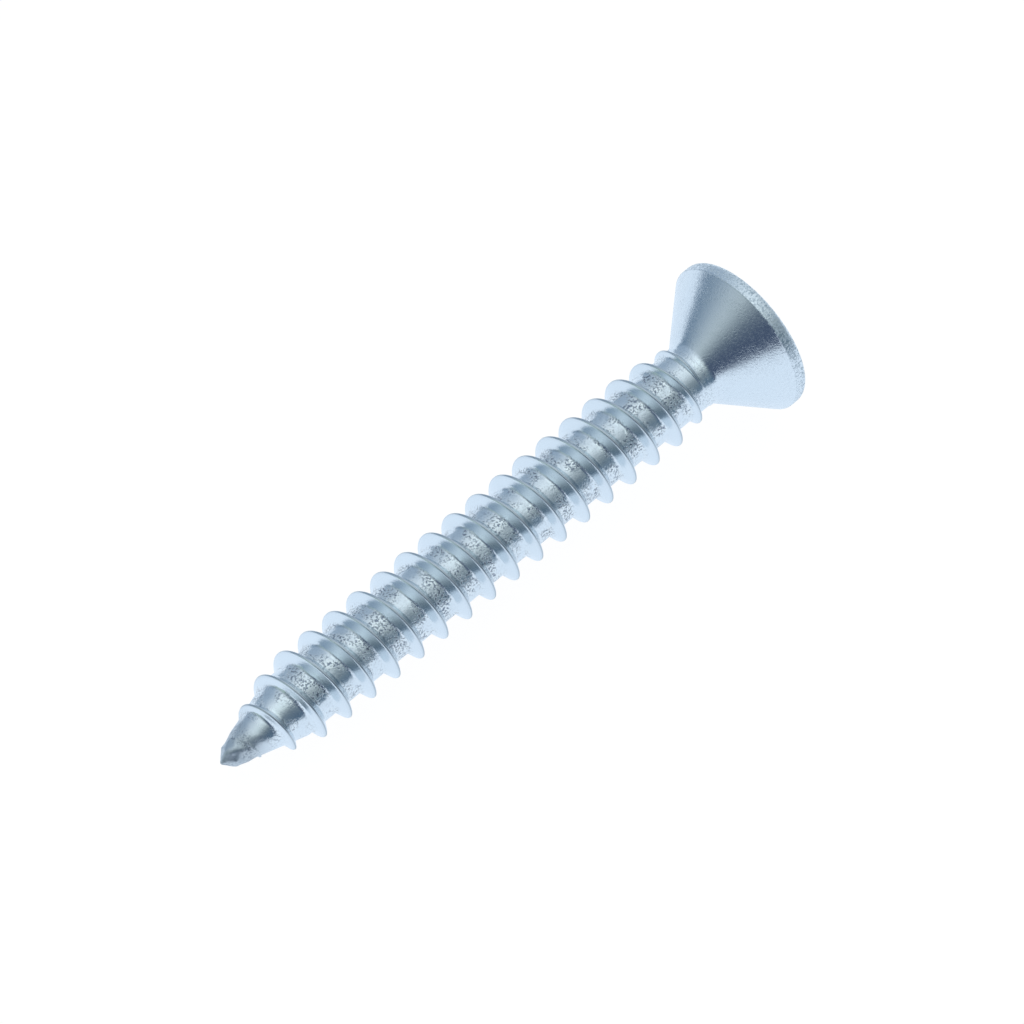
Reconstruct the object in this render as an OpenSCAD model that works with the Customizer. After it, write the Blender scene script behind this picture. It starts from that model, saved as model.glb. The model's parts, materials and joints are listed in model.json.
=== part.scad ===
// Countersunk self-tapping screw with a coarse right-hand thread, a cone point and a cross recess.
// It lies on its side as it comes to rest, on the rim of its head and on a thread crest near the tip.
// Millimetres, +Z up. The tip points to -X, the head to +X, and the origin is under the middle.

/* [Overall] */
// Length from the tip to the face of the head
length = 31.2; // [24:0.2:42]

/* [Thread] */
// Distance from one thread crest to the next
pitch = 1.4; // [1.2:0.05:1.8]
// Diameter over the thread crests
major_d = 4.04; // [3.8:0.02:4.5]
// Diameter of the core between the crests
minor_d = 2.95; // [2.6:0.05:3.1]
// Width of the flat on top of a crest
crest_w = 0.1; // [0.06:0.01:0.16]
// Angle between the two flanks of a crest
flank_angle = 60; // [50:1:66]
// Size of the blend between a flank and the core
root_blend = 0.1; // [0.04:0.01:0.14]
// Length over which the crests run out below the neck
runout_l = 2.5; // [1.6:0.1:4]
// Diameter over the low crests in the middle of the run-out
runout_d = 3.64; // [3.5:0.02:3.78]

/* [Point] */
// Length of the tapered point
point_l = 3.8; // [3:0.1:5.5]
// Length of the blunt nose at the end of the point
nose_l = 0.45; // [0.3:0.05:0.8]
// Diameter where the nose meets the threaded taper
nose_d = 1; // [0.6:0.02:1.2]
// Diameter of the small flat at the very tip
tip_d = 0.12; // [0.06:0.02:0.2]

/* [Head] */
// Diameter of the head
head_d = 7.5; // [7:0.1:9]
// Angle between opposite sides of the countersunk cone
head_angle = 80; // [76:1:92]
// Height of the rim above the cone
rim_h = 0.64; // [0.45:0.01:0.9]
// Radius on the upper edge of the rim
rim_edge_r = 0.28; // [0.1:0.01:0.36]
// Diameter of the plain neck under the cone
neck_d = 3.4; // [3.2:0.05:3.6]
// Length of the plain neck below its fillet
neck_l = 0.1; // [0.05:0.05:1]
// Radius of the fillet between the neck and the cone
neck_fillet_r = 0.6; // [0.3:0.05:1]

/* [Drive] */
// Width of the cross recess over two opposite wings, at the face
recess_d = 4.4; // [3.8:0.1:5]
// Depth of the recess at the ends of its wings
recess_depth = 1.8; // [1.2:0.05:2.1]
// Width of a wing at the face
wing_w = 1.15; // [0.9:0.05:1.4]
// Angle between the outer end of a wing and the axis
wing_end_angle = 26.5; // [20:0.5:28]
// Angle between each side of a wing and the axis
wing_side_angle = 6; // [2:0.5:8]
// Diameter of the round middle of the recess, at the face
recess_core_d = 2; // [1.7:0.05:2.3]
// Angle between opposite sides of the drill cone at the bottom
recess_bottom_angle = 140; // [120:1:160]

/* [Hidden] */

// Radii and the places along the axis where one form passes into the next
head_r = head_d / 2;
neck_r = neck_d / 2;
major_r = major_d / 2;
minor_r = minor_d / 2;
cone_half = head_angle / 2;
rim_z = length - rim_h;
cone_z = rim_z - (head_r - neck_r) / tan(cone_half);
fillet_reach = neck_fillet_r * tan(cone_half / 2);
neck_z = cone_z - fillet_reach - neck_l;
runout_z = neck_z - runout_l;
runout_low_z = runout_z + runout_l / 2;
runout_r = runout_d / 2;
last_crest_r = (minor_r + runout_r) / 2;

// The shank ends inside the neck, a little narrower than it, and its core swells just before it
neck_step = 0.03;
shank_seat = 0.3;
runout_end = 0.2;
core_swell = 0.4;
shank_end_r = neck_r - neck_step;
shank_top_z = neck_z + shank_seat;

// The crests grow fast along the point up to its shoulder, where they are as wide as the core, and then
// more slowly. The crest that the screw lies on is the first full one.
shoulder_share = 0.64;
shoulder_z = nose_l + shoulder_share * (point_l - nose_l);
rest_past_point = 0.77;
rest_z = point_l + rest_past_point;
contact_z = rest_z - crest_w / 2;
full_crest_z = rest_z - crest_w;
rest_tilt = atan((head_r - major_r) / (rim_z - contact_z));
rest_lift = major_r * cos(rest_tilt) - contact_z * sin(rest_tilt);
tip_x = -tip_d / 2 * sin(rest_tilt);
head_x = (length - rim_edge_r) * cos(rest_tilt) + (head_r - rim_edge_r) * sin(rest_tilt) + rim_edge_r;

// Grid of the threaded skin: sides around the axis, columns across one pitch of the thread
sides = 30;
columns = 6;
least_height = 0.08;
snap = 0.02;
blend_share = root_blend / (major_r - minor_r);
first_turn = -ceil((rest_z + pitch) / pitch) - 1;
last_turn = ceil((shank_top_z - rest_z + pitch) / pitch) + 1;
rows = (last_turn - first_turn + 1) * columns;

$fn = 64;

// Radius of the core, and of the envelope over the crests, at height z above the tip
function core_r(z) = lookup(z, [
  [0, tip_d / 2], [nose_l, nose_d / 2], [point_l, minor_r],
  [neck_z - core_swell, minor_r], [neck_z, shank_end_r]
]);
function crest_r(z) = lookup(z, [
  [0, tip_d / 2], [nose_l, nose_d / 2], [shoulder_z, minor_r], [full_crest_z, major_r],
  [runout_z, major_r], [runout_low_z, runout_r], [neck_z - runout_end, last_crest_r], [neck_z, shank_end_r]
]);
function thread_height(z) = crest_r(z) - core_r(z);

// Offset along the axis from the middle of the crest, and share of the thread's height, for each column
function flank_run(z) = max(thread_height(z), least_height) * tan(flank_angle / 2);
function half_width(z, step) =
  step == 0 ? crest_w / 2
  : step == 1 ? crest_w / 2 + flank_run(z) * (1 - blend_share)
  : crest_w / 2 + flank_run(z) + root_blend;
function column_offset(z, column) =
  column < columns / 2 ? -half_width(z, columns / 2 - 1 - column) : half_width(z, column - columns / 2);
function column_share(column) =
  let (step = column < columns / 2 ? columns / 2 - 1 - column : column - columns / 2)
  step == 0 ? 1 : step == 1 ? blend_share : 0;

// Height of the crest's middle along the helix, and of each grid point beside it
function helix_z(side, row) = rest_z + pitch * (first_turn + floor(row / columns) + side / sides);
function grid_z(side, row) =
  let (z = helix_z(side, row))
  z + column_offset(z, row % columns);
function on_skin(side, z, share) =
  let (angle = 360 * side / sides, r = core_r(z) + share * thread_height(z))
  [r * cos(angle), r * sin(angle), z];

// Points past either end of the shank are one with the ring of points that closes that end
function grid_id(side, row) =
  side == sides ? grid_id(0, row + columns)
  : let (z = grid_z(side, row))
    z < snap ? side
    : z > shank_top_z - snap ? sides + side
    : 2 * sides + side + sides * row;
function triangle(a, b, c) = a == b || b == c || c == a ? [] : [[a, b, c]];

skin_points = concat(
  [for (side = [0 : sides - 1]) on_skin(side, 0, 0)],
  [for (side = [0 : sides - 1]) on_skin(side, shank_top_z, 0)],
  [for (row = [0 : rows - 1], side = [0 : sides - 1])
    on_skin(side, grid_z(side, row), column_share(row % columns))]
);
skin_faces = concat(
  [[for (side = [0 : sides - 1]) side]],
  [[for (side = [sides - 1 : -1 : 0]) sides + side]],
  [for (row = [0 : rows - 2], side = [0 : sides - 1])
    let (
      a = grid_id(side, row),
      b = grid_id(side + 1, row),
      c = grid_id(side + 1, row + 1),
      d = grid_id(side, row + 1)
    )
    each concat(triangle(a, d, c), triangle(a, c, b))]
);

// Core, thread, point and run-out as one closed skin, tip at zero and axis up
module threaded_shank() {
  polyhedron(points = skin_points, faces = skin_faces, convexity = 12);
}

// Half section of the head from the neck to the face
module head_section() {
  difference() {
    union() {
      polygon([
        [0, neck_z], [neck_r, neck_z], [neck_r, cone_z], [head_r, rim_z], [head_r, length], [0, length]
      ]);
      neck_fillet_section();
    }
    difference() {
      translate([head_r - rim_edge_r, length - rim_edge_r])
        square(2 * rim_edge_r);
      translate([head_r - rim_edge_r, length - rim_edge_r])
        circle(rim_edge_r);
    }
  }
}

// Fillet between the wall of the neck and the cone
module neck_fillet_section() {
  difference() {
    polygon([
      [neck_r, cone_z - fillet_reach],
      [neck_r + fillet_reach * sin(cone_half), cone_z + fillet_reach * cos(cone_half)],
      [neck_r, cone_z]
    ]);
    translate([neck_r + neck_fillet_r, cone_z - fillet_reach])
      circle(neck_fillet_r);
  }
}

// Half width, at depth below the face, of a wall that leans in by the given angle
function leaning(half, depth, angle) = half - depth * tan(angle);

// One tapered pair of wings of the cross recess, with its drill cone below
module wing_pair() {
  above = rim_edge_r;
  end_r = leaning(recess_d / 2, recess_depth, wing_end_angle);
  drill = end_r / tan(recess_bottom_angle / 2);
  deep = recess_depth + drill;
  intersection() {
    rotate([90, 0, 0])
      linear_extrude(recess_d, center = true)
        polygon([
          [-leaning(recess_d / 2, -above, wing_end_angle), above],
          [-end_r, -recess_depth],
          [0, -deep],
          [end_r, -recess_depth],
          [leaning(recess_d / 2, -above, wing_end_angle), above]
        ]);
    rotate([90, 0, 90])
      linear_extrude(2 * recess_d, center = true)
        polygon([
          [-leaning(wing_w / 2, -above, wing_side_angle), above],
          [-leaning(wing_w / 2, deep, wing_side_angle), -deep],
          [leaning(wing_w / 2, deep, wing_side_angle), -deep],
          [leaning(wing_w / 2, -above, wing_side_angle), above]
        ]);
  }
}

// Cross recess: two pairs of wings around a round middle
module cross_recess() {
  above = rim_edge_r;
  translate([0, 0, length]) {
    wing_pair();
    rotate(90)
      wing_pair();
    translate([0, 0, -recess_depth])
      cylinder(
        h = recess_depth + above,
        r1 = leaning(recess_core_d / 2, recess_depth, wing_side_angle),
        r2 = leaning(recess_core_d / 2, -above, wing_side_angle)
      );
  }
}

// Countersunk head with its neck and recess
module head() {
  difference() {
    rotate_extrude()
      head_section();
    cross_recess();
  }
}

// The whole screw, laid on its side
module screw() {
  color([0.72, 0.77, 0.84])
    translate([-(tip_x + head_x) / 2, 0, rest_lift])
      rotate([0, 90 - rest_tilt, 0])
        union() {
          threaded_shank();
          head();
        }
}

screw();
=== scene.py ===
# Countersunk self-tapping screw, lying on a white table in soft studio light.
# The screw is one closed surface: a helical grid for point and thread, then rings for neck, head and recess.
import json
import math

import bpy
import numpy as np
from mathutils import Matrix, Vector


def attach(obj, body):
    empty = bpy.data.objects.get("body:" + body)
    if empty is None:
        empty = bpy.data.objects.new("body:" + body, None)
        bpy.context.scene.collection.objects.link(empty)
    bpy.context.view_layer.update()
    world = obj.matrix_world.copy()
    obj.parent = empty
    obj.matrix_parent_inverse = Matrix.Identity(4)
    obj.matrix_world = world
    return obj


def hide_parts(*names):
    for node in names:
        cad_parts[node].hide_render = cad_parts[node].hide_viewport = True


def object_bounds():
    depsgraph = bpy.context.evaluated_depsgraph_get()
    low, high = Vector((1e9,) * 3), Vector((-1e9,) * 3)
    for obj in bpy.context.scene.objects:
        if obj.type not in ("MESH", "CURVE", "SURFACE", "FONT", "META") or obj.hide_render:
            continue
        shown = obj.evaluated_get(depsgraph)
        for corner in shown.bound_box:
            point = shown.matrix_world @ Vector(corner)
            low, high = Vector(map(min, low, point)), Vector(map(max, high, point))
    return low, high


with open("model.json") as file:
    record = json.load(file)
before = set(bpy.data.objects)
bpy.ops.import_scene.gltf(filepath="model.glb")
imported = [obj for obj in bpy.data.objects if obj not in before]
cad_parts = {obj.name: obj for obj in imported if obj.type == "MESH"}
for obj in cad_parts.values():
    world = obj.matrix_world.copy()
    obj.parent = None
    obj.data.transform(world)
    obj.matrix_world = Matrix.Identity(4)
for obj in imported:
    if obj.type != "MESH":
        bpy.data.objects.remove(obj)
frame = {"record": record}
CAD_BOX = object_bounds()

MM = 0.001
TURN = 2 * math.pi

# Place and size of the screw in the frame, in millimetres, a hair inside the box of the solid
INSIDE = 0.005
MOUNTS = {mount["name"]: mount for mount in frame["record"]["mounts"]}
AXIS = np.array(MOUNTS["head_face"]["axis"])
FACE = np.array(MOUNTS["drive_recess"]["pos_m"]) / MM
RIM = np.array(MOUNTS["countersink"]["pos_m"]) / MM
UNDER = np.array([AXIS[2], 0.0, -AXIS[0]])
SIDE = np.cross(AXIS, UNDER)
MAJOR_R = MOUNTS["thread"]["dims"]["r_mm"]
HEAD_R = MOUNTS["countersink"]["dims"]["r_mm"] - INSIDE
TIP_X = CAD_BOX[0][0] / MM + INSIDE
LENGTH = (FACE[0] - TIP_X) / AXIS[0]
RIM_Z = LENGTH - np.linalg.norm(FACE - RIM)

# Thread, which is rounded less where it is low, with a fine lap along its crest
PITCH = 1.4
MINOR_R = 1.475
FULL_HEIGHT = MAJOR_R - MINOR_R
CREST_W = 0.07
FLANK_TAN = math.tan(math.radians(30))
CREST_ROUND = 0.07
ROOT_ROUND = 0.13
LEAST_ROUND_SHARE = 0.15
REST_Z = 4.57
LAP_DEPTH = 0.012
LAP_HALF_W = 0.02

# Point, with its nose bent a little to one side
POINT_L = 3.8
NOSE_L = 0.45
NOSE_R = 0.5
TIP_R = 0.06
SHOULDER_SHARE = 0.64
SHOULDER_Z = NOSE_L + SHOULDER_SHARE * (POINT_L - NOSE_L)
FULL_CREST_Z = REST_Z - CREST_W
NOSE_FADE = 2.6
BEND = 0.07
BEND_L = 4.5
BEND_SIDE = math.radians(-60)

# Lumps on the nose: share of the height, waves round it, radians along it for a millimetre, and start
LUMP = 0.03
LUMP_L = 2.6
LUMP_WAVES = [(1.0, 3, -2.5, 0), (0.6, 5, -7, 1), (0.3, 8, 9, 0)]

# Neck and head
CONE_HALF = math.radians(40)
NECK_R = 1.52
NECK_L = 0.03
NECK_FILLET_R = 0.5
CORE_SWELL = 0.1
RIM_EDGE_R = 0.28
RIM_CORNER_R = 0.09
CONE_Z = RIM_Z - (HEAD_R - NECK_R) / math.tan(CONE_HALF)
FILLET_REACH = NECK_FILLET_R * math.tan(CONE_HALF / 2)
NECK_Z = CONE_Z - FILLET_REACH - NECK_L

# Run-out of the thread, whose last crest is level
RUNOUT_L = 2.4
RUNOUT_LOW_L = 1.15
LAST_CREST_L = 0.4
RUNOUT_Z = NECK_Z - RUNOUT_L
RUNOUT_LOW_Z = NECK_Z - RUNOUT_LOW_L
RUNOUT_R = 1.82
LAST_CREST_Z = NECK_Z - LAST_CREST_L
LAST_CREST_R = 1.71
LAST_TURN = (LAST_CREST_Z - REST_Z) / PITCH
LEVEL_TURNS = 0.45
LEVEL_BLEND_TURNS = 0.12
FADE_TURNS = 0.25

# Cross recess. Its round core always stands out past the corners between the wings.
RECESS_R = 2.2
WING_HALF_W = 0.575
RECESS_CORE_R = 1.0
LEAST_CORE = 1.45
RECESS_DEPTH = 1.8
WING_END_TAN = math.tan(math.radians(26.5))
WING_SIDE_TAN = math.tan(math.radians(6))
RECESS_BOTTOM_TAN = math.tan(math.radians(20))
RECESS_EDGE = 0.06

# Zones of the finish, from 0 to 1: how pitted, frosted and dull each stretch is
ZONES = ("pits", "frost", "dull")
NECK_ZONE = (0.3, 0.1, 0)
FILLET_ZONE = (0.15, 0.1, 0)
CONE_ZONE = (0.12, 0.37, 0)
CORNER_ZONE = (0.1, 0.8, 0)
RIM_ZONE = (0.1, 1, 0)
FACE_ZONE = (0.1, 0.5, 0)
TIP_ZONE = (1, 0.5, 0.5)
NOSE_ZONE = (0.6, 0.5, 0.5)
ROOT_SHARE = 0.25
FAINT_PITS = 0.3
CLEAN_NECK_L = 1.6
CLEAN_POINT_L = 5.0
ROUGH_TIP_Z = 2.4
ROUGH_TIP_FADE = 1.2
LAP_SHADE = 0.35
LAP_SHADE_W = 0.055
LAP_LINE = 0.45
LAP_LINE_W = 0.022
LAP_FULL_SHARE = 0.2

# Patterns of the finish: size in millimetres, detail and roughness of each, and depths of the uneven ones.
# The finest dents and grains of the plate are too small to show, so both are drawn coarser.
FILM = (1.8, 3, 0.5)
PATCHES = (0.9, 1, 0.5)
DENTS = (0.095, 2, 0.6)
WAVES = (0.45, 1, 0.5)
GRAINS = (0.09, 2, 0.5)
DENT_DEPTH = 0.014
WAVE_DEPTH = 0.016
GRAIN_DEPTH = 0.016

# Rolling streaks along the thread: width, depth, and how far their pattern moves on in one turn
STREAK_W = 0.0602
STREAK_DEPTH = 0.002
STREAK_RUN = 2

# Stretches of the patterns, from 0 to 1, over which patches, painted shade in the pits, dents and grains set
# in
PATCH_EDGE = (0.43, 0.55)
PAINTED_PIT_SHADE_EDGE = (0.48, 0.36)
DENT_EDGE = (0.38, 0.52)
GRAIN_EDGE = (0.45, 0.65)

# How pitted the metal is between patches, how dark the painted shade in the pits and the dull zones get, and
# roughness
BETWEEN_PATCHES = 0.12
PAINTED_PIT_SHADE = 0.8
DULL_SHADE = 0.5
BASE_ROUGH = 0.2
PIT_ROUGH = 0.03
DULL_ROUGH = 0.35
GRAIN_ROUGH = (0.08, 0.8)

# Fineness of the surface. The columns across the thread lie close on the crest and at the flank's foot.
SIDES = 128
ANGLES = np.arange(SIDES) * TURN / SIDES
SNAP = 0.02
COLUMN_STEPS = np.array([
    0, 0.02, 0.04, 0.06, 0.085, 0.12, 0.17, 0.23, 0.29, 0.34, 0.39, 0.44, 0.5, 0.6, PITCH / 2])
FILLET_POINTS = 10
CORNER_POINTS = 5
EDGE_POINTS = 9
CONE_SHARES = np.append(np.linspace(0.08, 0.92, 11), 0.985)
FACE_SHARES = [0.25, 0.5, 0.75, 1.0]
RECESS_LEVELS = [RECESS_EDGE, 0.4, 0.9, 1.4, RECESS_DEPTH]
BOTTOM_SHARES = [0.66, 0.33]

# Table: how much of its look is glow, and how strong that is for the camera and in the metal
TABLE_HALF = 1500
GLOW_SHARE = 0.9
WHITE_GLOW = 1.07
MIRRORED_GLOW = 1.177

# Room: the line along which it goes from dark to white, and the cosines where its three colours lie
BRIGHT_AZIMUTH = 71.3
BRIGHT_ELEVATION = 49.4
DARK_END = -0.754
GREY_MIDDLE = 0.117
WHITE_END = 0.762

# Cards in the room, each with its blend, azimuth, elevation and reach in degrees, and colour: a grey one
# behind the screw, a pale one beyond its tip, a lamp overhead and the dark side towards the camera
CARDS = [
    ("SUBTRACT", 90, 14, 70, "#b8b8b0"),
    ("ADD", 167.7, 2.2, 30.6, "#6a8068"),
    ("ADD", 250, 75, 30, "#8c958f"),
    ("MIX", 215, 6, 52, "#48566f"),
]

# Camera, turned from +Y towards +X and looking down, in degrees and millimetres
CAMERA_TURN = 43.79
CAMERA_DOWN = 52.12
CAMERA_ROLL = -0.185
CAMERA_AIM = np.array([1.575, 0.345, 3.0])
CAMERA_DISTANCE = 261.98
LENS = 215.24
SENSOR_W = 36.0

# Settings that several nodes share
MULTIPLY = {"operation": "MULTIPLY"}
MULTIPLY_ADD = {"operation": "MULTIPLY_ADD"}
MAXIMUM = {"operation": "MAXIMUM"}
DOT_PRODUCT = {"operation": "DOT_PRODUCT"}
COLOUR_MIX = {"data_type": "RGBA"}
SOFT_EDGE = {"interpolation_type": "SMOOTHSTEP"}


def linear(hex_colour):
    """Linear red, green, blue and alpha of an sRGB colour such as '#d9e4f0'."""
    srgb = np.array([int(hex_colour[i:i + 2], 16) for i in (1, 3, 5)]) / 255
    rgb = np.where(srgb <= 0.04045, srgb / 12.92, ((srgb + 0.055) / 1.055) ** 2.4)
    return (*rgb.tolist(), 1.0)


def smooth_min(a, b, reach):
    """The lower of a and b, with a parabola of the given reach where they cross."""
    share = np.clip(0.5 + 0.5 * (b - a) / reach, 0, 1)
    return b * (1 - share) + a * share - reach * share * (1 - share)


def smooth_step(share):
    """Rises from 0 to 1 along a cubic, level at both ends."""
    share = np.clip(share, 0, 1)
    return share * share * (3 - 2 * share)


def core_radius(z):
    """Radius of the core: blunt nose, tapered point, straight shank, slight swell into the neck."""
    places = [0, NOSE_L, POINT_L, NECK_Z - CORE_SWELL, NECK_Z]
    return np.interp(z, places, [TIP_R, NOSE_R, MINOR_R, MINOR_R, NECK_R])


def crest_radius(z):
    """Radius over the crests: grows along the point, fast and then slowly, is straight, and runs out."""
    places = [0, NOSE_L, SHOULDER_Z, FULL_CREST_Z, RUNOUT_Z, RUNOUT_LOW_Z, LAST_CREST_Z]
    return np.interp(z, places, [TIP_R, NOSE_R, MINOR_R, MAJOR_R, MAJOR_R, RUNOUT_R, LAST_CREST_R])


def crest_line(along):
    """Place of the crest after a number of turns: a helix, whose end stays level for a part of a turn."""
    past = along - LAST_TURN
    behind = past - smooth_min(past, 0, LEVEL_BLEND_TURNS)
    behind = behind * (1 - smooth_step((past - LEVEL_TURNS) / FADE_TURNS))
    return REST_Z + PITCH * (along - behind)


def thread_height(z, along):
    """Height of the crests above the core, which fades out on the nose and at the end of the level crest."""
    nose = smooth_step((z - NOSE_L) / NOSE_FADE)
    end = 1 - smooth_step((along - LAST_TURN - LEVEL_TURNS + FADE_TURNS) / FADE_TURNS)
    return np.maximum(crest_radius(z) - core_radius(z), 0) * nose * end


def tooth(across, height):
    """Height of the thread above the core, at a distance across from the middle of its crest.

    A flat crest, two straight flanks and a flat root, joined by smooth minima that are sharper where the
    thread is low, with a fine lap groove along the crest where the rolled metal meets.
    """
    share = np.clip(height / FULL_HEIGHT, LEAST_ROUND_SHARE, 1)
    flank = height - (np.abs(across) - CREST_W / 2) / FLANK_TAN
    raised = -smooth_min(-smooth_min(height, flank, CREST_ROUND * share), 0, ROOT_ROUND * share)
    lap = LAP_DEPTH * np.exp(-(across / LAP_HALF_W) ** 2) * height / FULL_HEIGHT
    return np.minimum(raised, height) - lap


def nose_lumps(z, angle):
    """Uneven skin of the pinched point: three crossed sine waves that die away along it."""
    waves = sum(
        share * np.sin(count * angle + along * z + start) for share, count, along, start in LUMP_WAVES)
    return LUMP * waves * smooth_step(1 - z / LUMP_L) * smooth_step(z / NOSE_L)


def around(radius, z):
    """Points on a circle or helix around the axis: radius and z broadcast against the angles."""
    radius, z, angle = np.broadcast_arrays(radius, z, ANGLES)
    return np.stack([radius * np.cos(angle), radius * np.sin(angle), z], axis=-1)


def shank_grid():
    """Grid over point and thread: rows are helices at fixed distances from the crest, sides go round.

    A row is one helix for one turn, and its last point is the first point of the same row one turn on.
    Returns the points, and for each its z, its distance across the thread, its height above the core and
    coordinates for the rolling marks. Those go once round a circle from crest to crest, and on along the
    helix.
    """
    step = np.concatenate([-COLUMN_STEPS[:0:-1], COLUMN_STEPS[:-1]])
    first = -math.ceil((REST_Z + PITCH) / PITCH) - 1
    last = math.ceil((NECK_Z - REST_Z + PITCH) / PITCH) + 1
    turns = np.repeat(np.arange(first, last + 1), len(step))
    along = turns[:, None] + np.arange(SIDES) / SIDES
    step = np.tile(step, last - first + 1)[:, None]
    crest = crest_line(along)
    gap = np.where(step < 0, crest - crest_line(along - 1), crest_line(along + 1) - crest)
    across = step * gap / PITCH
    z = crest + across
    raised = tooth(across, thread_height(z, along))
    points = around(core_radius(z) + raised + nose_lumps(z, ANGLES), z)
    phase = np.broadcast_to(TURN * step / PITCH, z.shape)
    marks = np.stack([np.cos(phase), np.sin(phase), STREAK_RUN * along], axis=-1)
    return points, z, across, raised, marks


def thread_zones(z, across, raised):
    """Where the thread is pitted, frosted and dull.

    Pits lie in the root, up to a share of the full height, and are fainter by the neck and over the point.
    The pinched nose has its own zone. The crest is dull along its lap: a soft shade with a fine line in it.
    """
    share = raised / FULL_HEIGHT
    root = np.clip(1 - share / ROOT_SHARE, 0, 1)
    root = root * np.clip((NECK_Z - z) / CLEAN_NECK_L, FAINT_PITS, 1)
    root = root * np.clip(z / CLEAN_POINT_L, FAINT_PITS, 1)
    shade = LAP_SHADE * np.exp(-(across / LAP_SHADE_W) ** 2)
    line = LAP_LINE * np.exp(-(across / LAP_LINE_W) ** 2)
    lap = (shade + line) * np.clip(share / LAP_FULL_SHARE, 0, 1)
    nose = np.clip((ROUGH_TIP_Z - z) / ROUGH_TIP_FADE, 0, 1)
    thread = np.stack([root, np.zeros_like(root), lap], axis=-1)
    return np.maximum(thread, nose[..., None] * np.array(NOSE_ZONE))


def arc(centre, radius, start, end, count):
    """Points on an arc, as radius from the axis and z, from one angle to another in degrees."""
    turn = np.radians(np.linspace(start, end, count))
    return np.stack([centre[0] + radius * np.cos(turn), centre[1] + radius * np.sin(turn)], axis=-1)


def head_section():
    """Half section of neck and head from the thread to the edge of the face, with the zone of each point.

    Neck wall, fillet tangent to wall and cone, cone, rounded corner of the rim, and the rim with its rounded
    edge.
    """
    tilt = math.degrees(CONE_HALF)
    neck = np.array([[NECK_R, NECK_Z]])
    fillet_centre = (NECK_R + NECK_FILLET_R, CONE_Z - FILLET_REACH)
    fillet = arc(fillet_centre, NECK_FILLET_R, 180, 180 - tilt, FILLET_POINTS)
    corner_centre = (HEAD_R - RIM_CORNER_R, RIM_Z + RIM_CORNER_R * math.tan(CONE_HALF / 2))
    corner = arc(corner_centre, RIM_CORNER_R, -tilt, 0, CORNER_POINTS)
    edge_centre = (HEAD_R - RIM_EDGE_R, LENGTH - RIM_EDGE_R)
    edge = arc(edge_centre, RIM_EDGE_R, 0, 90, EDGE_POINTS)
    cone = fillet[-1] + CONE_SHARES[:, None] * (corner[0] - fillet[-1])
    stretches = [neck, fillet, cone, corner, edge]
    zones = [NECK_ZONE, FILLET_ZONE, CONE_ZONE, CORNER_ZONE, RIM_ZONE]
    return np.concatenate(stretches), np.repeat(zones, [len(stretch) for stretch in stretches], axis=0)


def recess_outline(depth):
    """Outline of the cross recess at a depth below the face, with as many points as there are sides.

    One quarter runs from the middle of a wing's end, along its side, round the core and out along the next
    wing. The other quarters are the same, turned.
    """
    reach = RECESS_R - depth * WING_END_TAN
    half = WING_HALF_W - depth * WING_SIDE_TAN
    core = max(RECESS_CORE_R - depth * WING_SIDE_TAN, half * LEAST_CORE)
    meet = math.sqrt(core ** 2 - half ** 2)
    inner = math.atan2(half, meet)
    quarter = SIDES // 4
    end = quarter // 8
    side = quarter // 4
    swing = np.linspace(inner, math.pi / 2 - inner, quarter - 2 * (end + side) + 1)
    x = np.concatenate([
        np.full(end, reach), np.linspace(reach, meet, side, endpoint=False), core * np.cos(swing),
        np.full(side, half), np.linspace(half, 0, end, endpoint=False)[1:]])
    y = np.concatenate([
        np.linspace(0, half, end, endpoint=False), np.full(side, half), core * np.sin(swing),
        np.linspace(meet, reach, side + 1)[1:], np.full(end - 1, reach)])
    quarters = [(x, y), (-y, x), (-x, -y), (y, -x)]
    return np.concatenate([np.stack(quarter_turn, axis=-1) for quarter_turn in quarters])


def head_rings():
    """Rings of points over neck, head and recess, with the zone of each point.

    The section goes round the axis, the flat face blends from its circle into the recess's outline, and the
    recess narrows with depth down to its drill cone. Also returns which ring is the outer edge of the recess,
    and the height of the pole at its bottom.
    """
    section, section_zones = head_section()
    rings = [around(r, z) for r, z in section]
    outer = rings[-1][:, :2]
    inner = recess_outline(-RECESS_EDGE)
    for share in FACE_SHARES:
        level = outer * (1 - share) + inner * share
        rings.append(np.column_stack([level, np.full(SIDES, LENGTH)]))
    recess_ring = len(rings) - 1
    for depth in RECESS_LEVELS:
        rings.append(np.column_stack([recess_outline(depth), np.full(SIDES, LENGTH - depth)]))
    bottom = recess_outline(RECESS_DEPTH)
    reach = np.linalg.norm(bottom, axis=1)
    for share in BOTTOM_SHARES:
        drop = RECESS_DEPTH + (reach.max() - share * reach) * RECESS_BOTTOM_TAN
        rings.append(np.column_stack([bottom * share, LENGTH - drop]))
    pole = LENGTH - RECESS_DEPTH - reach.max() * RECESS_BOTTOM_TAN
    face_zones = np.tile(FACE_ZONE, (len(rings) - len(section), 1))
    zones = np.concatenate([section_zones, face_zones])
    return np.array(rings), recess_ring, pole, np.repeat(zones, SIDES, axis=0)


def strips(ids):
    """Triangles between neighbouring rows of a grid of ids, one column further than its sides."""
    a, b = ids[:-1, :-1], ids[:-1, 1:]
    d, c = ids[1:, :-1], ids[1:, 1:]
    both = np.stack([np.stack([a, b, c], axis=-1), np.stack([a, c, d], axis=-1)])
    both = both.reshape(-1, 3)
    whole = (both[:, 0] != both[:, 1]) & (both[:, 1] != both[:, 2]) & (both[:, 2] != both[:, 0])
    return both[whole]


def fan(ring, pole):
    """Triangles from a closed ring of ids to one pole."""
    return np.stack([ring, np.roll(ring, -1), np.full(len(ring), pole)], axis=-1)


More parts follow.
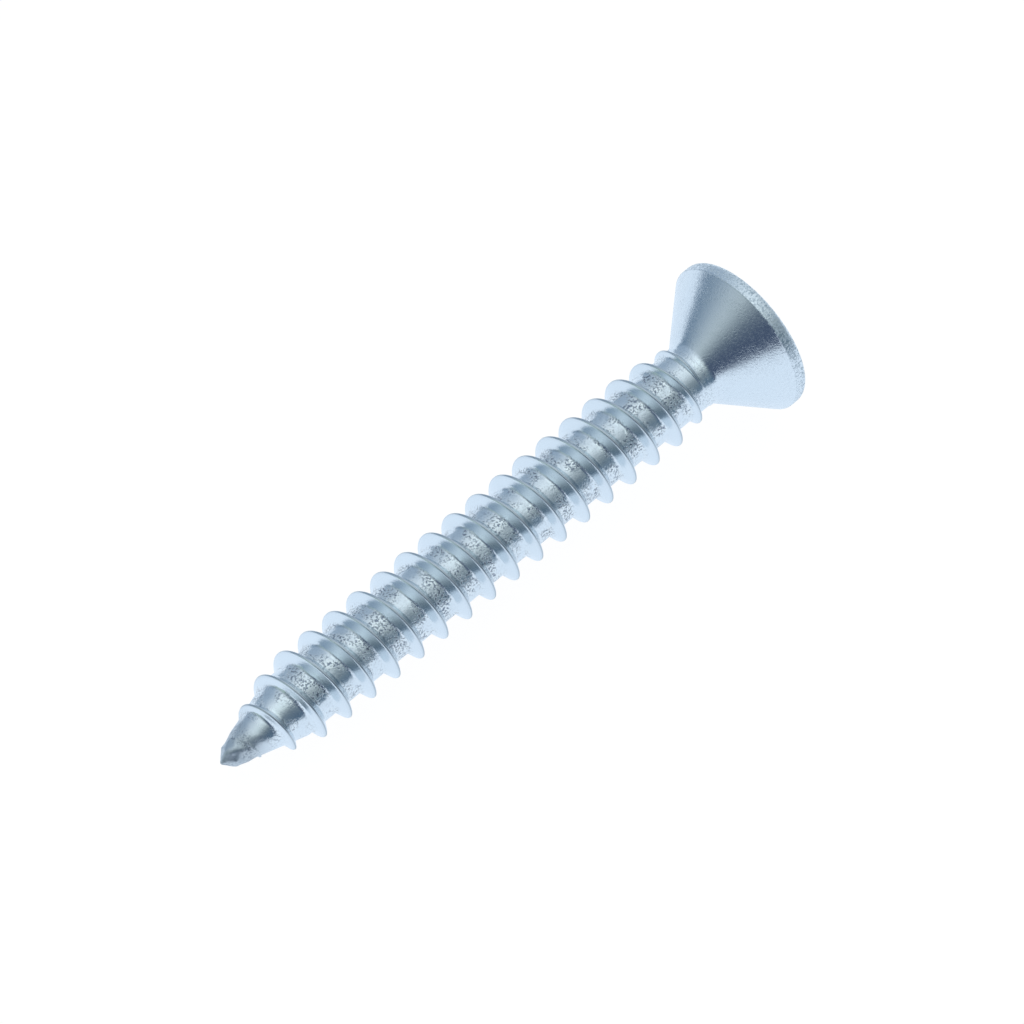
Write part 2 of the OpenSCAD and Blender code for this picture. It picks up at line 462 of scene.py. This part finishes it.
def build_mesh(name, points, triangles, smooth):
    """A mesh object from arrays of points in metres and triangles, each smooth or flat shaded."""
    mesh = bpy.data.meshes.new(name)
    mesh.vertices.add(len(points))
    mesh.vertices.foreach_set("co", points.astype(np.float32).ravel())
    mesh.loops.add(triangles.size)
    mesh.loops.foreach_set("vertex_index", triangles.astype(np.int32).ravel())
    mesh.polygons.add(len(triangles))
    mesh.polygons.foreach_set("loop_start", np.arange(0, triangles.size, 3, dtype=np.int32))
    mesh.polygons.foreach_set("use_smooth", smooth)
    mesh.update(calc_edges=True)
    mesh.validate()
    piece = bpy.data.objects.new(name, mesh)
    bpy.context.scene.collection.objects.link(piece)
    return piece


def build_screw():
    """The screw as one closed mesh with its zones and rolling marks as vertex attributes.

    The points are a ring at the tip, the rings of the head, the helical grid and two poles. Grid points past
    either end are one with the ring that closes that end. The nose is then bent along a parabola.
    """
    grid, z, across, raised, thread_marks = shank_grid()
    rings, recess_ring, pole_z, head_zones = head_rings()
    rows = len(grid)
    side = np.arange(SIDES)
    tip_ring = around(TIP_R, 0.0)
    poles = np.array([[0, 0, 0.0], [0, 0, pole_z]])
    local = np.concatenate([tip_ring, rings.reshape(-1, 3), grid.reshape(-1, 3), poles])

    ring_ids = SIDES + np.arange(len(rings) * SIDES).reshape(-1, SIDES)
    grid_ids = ring_ids.max() + 1 + np.arange(rows * SIDES).reshape(rows, SIDES)
    grid_ids = np.where(z < SNAP, side, grid_ids)
    grid_ids = np.where(z > NECK_Z - SNAP, ring_ids[0], grid_ids)
    columns = 2 * (len(COLUMN_STEPS) - 1)
    next_turn = np.concatenate([grid_ids[columns:, 0], np.full(columns, ring_ids[0, 0])])
    grid_ids = np.column_stack([grid_ids, next_turn])
    ring_ids = np.column_stack([ring_ids, ring_ids[:, 0]])
    tip_pole = len(local) - 2
    recess_pole = len(local) - 1
    rounded = [strips(grid_ids), strips(ring_ids[:recess_ring + 1]), fan(side[::-1], tip_pole)]
    crisp = [strips(ring_ids[recess_ring:]), fan(ring_ids[-1, :-1], recess_pole)]
    triangles = np.concatenate(rounded + crisp)
    smooth = np.arange(len(triangles)) < sum(len(part) for part in rounded)

    bend = BEND * np.clip(1 - local[:, 2] / BEND_L, 0, 1) ** 2
    local[:, 0] += bend * math.cos(BEND_SIDE)
    local[:, 1] += bend * math.sin(BEND_SIDE)
    used, triangles = np.unique(triangles, return_inverse=True)
    triangles = triangles.reshape(-1, 3)
    place = FACE - LENGTH * AXIS
    points = place + local @ np.stack([UNDER, SIDE, AXIS])
    screw = build_mesh("screw_body", points[used] * MM, triangles, smooth)

    tip_zones = np.tile(TIP_ZONE, (SIDES, 1))
    grid_zones = thread_zones(z, across, raised).reshape(-1, 3)
    zones = np.concatenate([tip_zones, head_zones, grid_zones, [TIP_ZONE, FACE_ZONE]])
    for column, label in enumerate(ZONES):
        layer = screw.data.attributes.new(label, "FLOAT", "POINT")
        layer.data.foreach_set("value", zones[used, column].astype(np.float32))
    marks = np.zeros((len(local), 3))
    marks[SIDES + len(head_zones):-2] = thread_marks.reshape(-1, 3)
    layer = screw.data.attributes.new("marks", "FLOAT_VECTOR", "POINT")
    layer.data.foreach_set("vector", marks[used].astype(np.float32).ravel())
    return screw


def add_node(tree, kind, settings, *values, output=None, **named):
    """Adds a node with its settings, and gives back one of its outputs, by name or the first in use.

    Values and links go to the inputs in use, in their order, or to the input of that name.
    """
    item = tree.nodes.new(kind)
    for key, value in settings.items():
        setattr(item, key, value)
    pairs = list(zip([socket for socket in item.inputs if socket.enabled], values))
    pairs += [(item.inputs[name], value) for name, value in named.items()]
    for socket, value in pairs:
        if isinstance(value, bpy.types.NodeSocket):
            tree.links.new(value, socket)
        else:
            socket.default_value = value
    in_use = [socket for socket in item.outputs if socket.enabled]
    return item.outputs[output] if output else next(iter(in_use), None)


def zinc_plate():
    """Bright zinc plate with a faint blue passivation, over rolled and cold-formed steel.

    To the eye it is a cool, slightly soft mirror. The rolled flanks are smooth. The roots glitter with small
    dents in patches, with painted shade in dark blue at the bottoms of the dents. The cone and rim of the
    head are frosted by fine grains. The crests along their lap and the pinched nose are a dull grey.
    """
    material = bpy.data.materials.new("blue_passivated_zinc_plate")
    material.use_nodes = True
    tree = material.node_tree
    shader = tree.nodes["Principled BSDF"]
    pits, frost, dull = [
        add_node(tree, "ShaderNodeAttribute", {"attribute_name": label}, output="Fac") for label in ZONES]
    marks = add_node(tree, "ShaderNodeAttribute", {"attribute_name": "marks"}, output="Vector")
    place = add_node(tree, "ShaderNodeTexCoord", {}, output="Object")
    film, patches, dents, waves, grains = [
        add_node(tree, "ShaderNodeTexNoise", {}, place, 1 / (size * MM), detail, roughness)
        for size, detail, roughness in (FILM, PATCHES, DENTS, WAVES, GRAINS)]
    streaks = add_node(tree, "ShaderNodeTexNoise", {}, marks, PITCH / (TURN * STREAK_W), 2)

    # Colour: the film's tint, brighter in the pits, with painted dark blue shade at the bottoms of their
    # dents, and grey where it is dull
    patch_share = add_node(tree, "ShaderNodeMapRange", {}, patches, *PATCH_EDGE, BETWEEN_PATCHES, 1)
    pit_zone = add_node(tree, "ShaderNodeMath", MULTIPLY, patch_share, pits)
    tint = add_node(tree, "ShaderNodeMix", COLOUR_MIX, film, linear("#dee6eb"), linear("#e2eaef"))
    facets = add_node(tree, "ShaderNodeMix", COLOUR_MIX, pit_zone, tint, linear("#e5ebed"))
    # Painted shade: dark blue mixed in where the dent pattern is lowest, at the bottoms of the dents
    painted_pit_shade = add_node(tree, "ShaderNodeMapRange", {}, dents, *PAINTED_PIT_SHADE_EDGE, 0, PAINTED_PIT_SHADE)
    painted_pit_shade_share = add_node(tree, "ShaderNodeMath", MULTIPLY, painted_pit_shade, pit_zone)
    pitted = add_node(tree, "ShaderNodeMix", COLOUR_MIX, painted_pit_shade_share, facets, linear("#4a5a78"))
    dull_share = add_node(tree, "ShaderNodeMath", MULTIPLY, dull, DULL_SHADE)
    dulled = add_node(tree, "ShaderNodeMix", COLOUR_MIX, dull_share, pitted, linear("#55636f"))

    # Roughness: a little more in the pits, grain by grain in the frost, and most where it is dull
    pit_rough = add_node(tree, "ShaderNodeMath", MULTIPLY_ADD, pits, PIT_ROUGH, BASE_ROUGH)
    grain_rough = add_node(tree, "ShaderNodeMapRange", {}, grains, *GRAIN_EDGE, *GRAIN_ROUGH)
    frost_depth = add_node(tree, "ShaderNodeMath", MULTIPLY, frost, frost)
    frost_rough = add_node(tree, "ShaderNodeMath", MULTIPLY_ADD, frost_depth, grain_rough, pit_rough)
    rough = add_node(tree, "ShaderNodeMath", MULTIPLY_ADD, dull, DULL_ROUGH, frost_rough)

    # Height in millimetres: rolling streaks, and dents, waves and grains in their zones
    dent_height = add_node(tree, "ShaderNodeMapRange", SOFT_EDGE, dents, *DENT_EDGE, 0, DENT_DEPTH)
    wave_height = add_node(tree, "ShaderNodeMath", MULTIPLY, waves, WAVE_DEPTH)
    grain_height = add_node(tree, "ShaderNodeMath", MULTIPLY, grains, GRAIN_DEPTH)
    height = add_node(tree, "ShaderNodeMath", MULTIPLY, streaks, STREAK_DEPTH)
    height = add_node(tree, "ShaderNodeMath", MULTIPLY_ADD, dent_height, pit_zone, height)
    height = add_node(tree, "ShaderNodeMath", MULTIPLY_ADD, wave_height, pits, height)
    height = add_node(tree, "ShaderNodeMath", MULTIPLY_ADD, grain_height, frost_depth, height)
    bump = add_node(tree, "ShaderNodeBump", {}, Height=height, Strength=1, Distance=MM)

    tree.links.new(dulled, shader.inputs["Base Color"])
    tree.links.new(rough, shader.inputs["Roughness"])
    tree.links.new(bump, shader.inputs["Normal"])
    shader.inputs["Metallic"].default_value = 1.0
    return material


def build_table():
    """White table top: white to the camera, cool white in the metal, with a faint shadow left on it."""
    flat_corners = np.array([[-1, -1, 0], [1, -1, 0], [1, 1, 0], [-1, 1, 0]])
    halves = np.array([[0, 1, 2], [0, 2, 3]])
    table = build_mesh("table", TABLE_HALF * MM * flat_corners, halves, np.zeros(2, dtype=bool))
    material = bpy.data.materials.new("white_table")
    material.use_nodes = True
    tree = material.node_tree
    tree.nodes.clear()
    rays = add_node(tree, "ShaderNodeLightPath", {}).node.outputs
    glossy = rays["Is Glossy Ray"]
    seen = add_node(tree, "ShaderNodeMath", MAXIMUM, rays["Is Camera Ray"], glossy)
    seen = add_node(tree, "ShaderNodeMath", MAXIMUM, seen, rays["Is Transmission Ray"])
    share = add_node(tree, "ShaderNodeMath", MULTIPLY, seen, GLOW_SHARE)
    paper = add_node(tree, "ShaderNodeBsdfDiffuse", {}, linear("#f3f3f3"))
    colour = add_node(tree, "ShaderNodeMix", COLOUR_MIX, glossy, linear("#ffffff"), linear("#e5f1ff"))
    strength = add_node(tree, "ShaderNodeMath", MULTIPLY_ADD, glossy, MIRRORED_GLOW - WHITE_GLOW, WHITE_GLOW)
    glow = add_node(tree, "ShaderNodeEmission", {}, colour, strength)
    mixed = add_node(tree, "ShaderNodeMixShader", {}, share, paper, glow)
    add_node(tree, "ShaderNodeOutputMaterial", {}, mixed)
    table.data.materials.append(material)
    return table


def pointing(azimuth, elevation):
    """Unit vector towards an azimuth, counted from +X to +Y, and an elevation, both in degrees."""
    turn = math.radians(azimuth)
    rise = math.radians(elevation)
    return (math.cos(rise) * math.cos(turn), math.cos(rise) * math.sin(turn), math.sin(rise))


def build_world():
    """Room around the table: white to the camera, and to the metal a soft ramp from dark to white.

    A wide soft box above the far side is the white end. Each card is a round patch with a soft edge.
    """
    world = bpy.data.worlds.new("studio_room")
    bpy.context.scene.world = world
    world.use_nodes = True
    tree = world.node_tree
    tree.nodes.clear()
    look = add_node(tree, "ShaderNodeTexCoord", {}, output="Generated")
    bright = pointing(BRIGHT_AZIMUTH, BRIGHT_ELEVATION)
    facing = add_node(tree, "ShaderNodeVectorMath", DOT_PRODUCT, look, bright)
    share = add_node(tree, "ShaderNodeMapRange", {}, facing, DARK_END, WHITE_END)
    room = add_node(tree, "ShaderNodeValToRGB", {}, share)
    stops = room.node.color_ramp.elements
    stops[0].color = linear("#3d6384")
    stops[1].color = linear("#eaf6ff")
    stops.new((GREY_MIDDLE - DARK_END) / (WHITE_END - DARK_END)).color = linear("#839199")
    for blend, azimuth, elevation, reach, colour in CARDS:
        facing = add_node(tree, "ShaderNodeVectorMath", DOT_PRODUCT, look, pointing(azimuth, elevation))
        edge = math.cos(math.radians(reach))
        patch = add_node(tree, "ShaderNodeMapRange", SOFT_EDGE, facing, edge, 1)
        blending = {**COLOUR_MIX, "blend_type": blend, "clamp_result": blend == "SUBTRACT"}
        room = add_node(tree, "ShaderNodeMix", blending, patch, room, linear(colour))
    to_camera = add_node(tree, "ShaderNodeLightPath", {}, output="Is Camera Ray")
    shown = add_node(tree, "ShaderNodeMix", COLOUR_MIX, to_camera, room, linear("#ffffff"))
    background = add_node(tree, "ShaderNodeBackground", {}, shown, 1)
    add_node(tree, "ShaderNodeOutputWorld", {}, background)


def build_camera():
    """Long lens at the photograph's angle: up from the left front, on the middle of the screw."""
    camera = bpy.data.cameras.new("camera")
    camera.sensor_width = SENSOR_W
    camera.lens = LENS
    camera.clip_start = 0.01
    camera.clip_end = 10.0
    item = bpy.data.objects.new("camera", camera)
    bpy.context.scene.collection.objects.link(item)
    forward = np.array(pointing(90 - CAMERA_TURN, -CAMERA_DOWN))
    level = np.array(pointing(-CAMERA_TURN, 0))
    upright = np.cross(level, forward)
    roll = math.radians(CAMERA_ROLL)
    right = level * math.cos(roll) + upright * math.sin(roll)
    up = np.cross(right, forward)
    place = (CAMERA_AIM - CAMERA_DISTANCE * forward) * MM
    rows = np.column_stack([right, up, -forward, place])
    item.matrix_world = Matrix([*rows.tolist(), [0, 0, 0, 1]])
    bpy.context.scene.camera = item


bpy.context.scene.view_settings.view_transform = "Standard"
build_world()
build_camera()
build_table()

screw = build_screw()
screw.data.materials.append(zinc_plate())
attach(screw, "root")
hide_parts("screw")
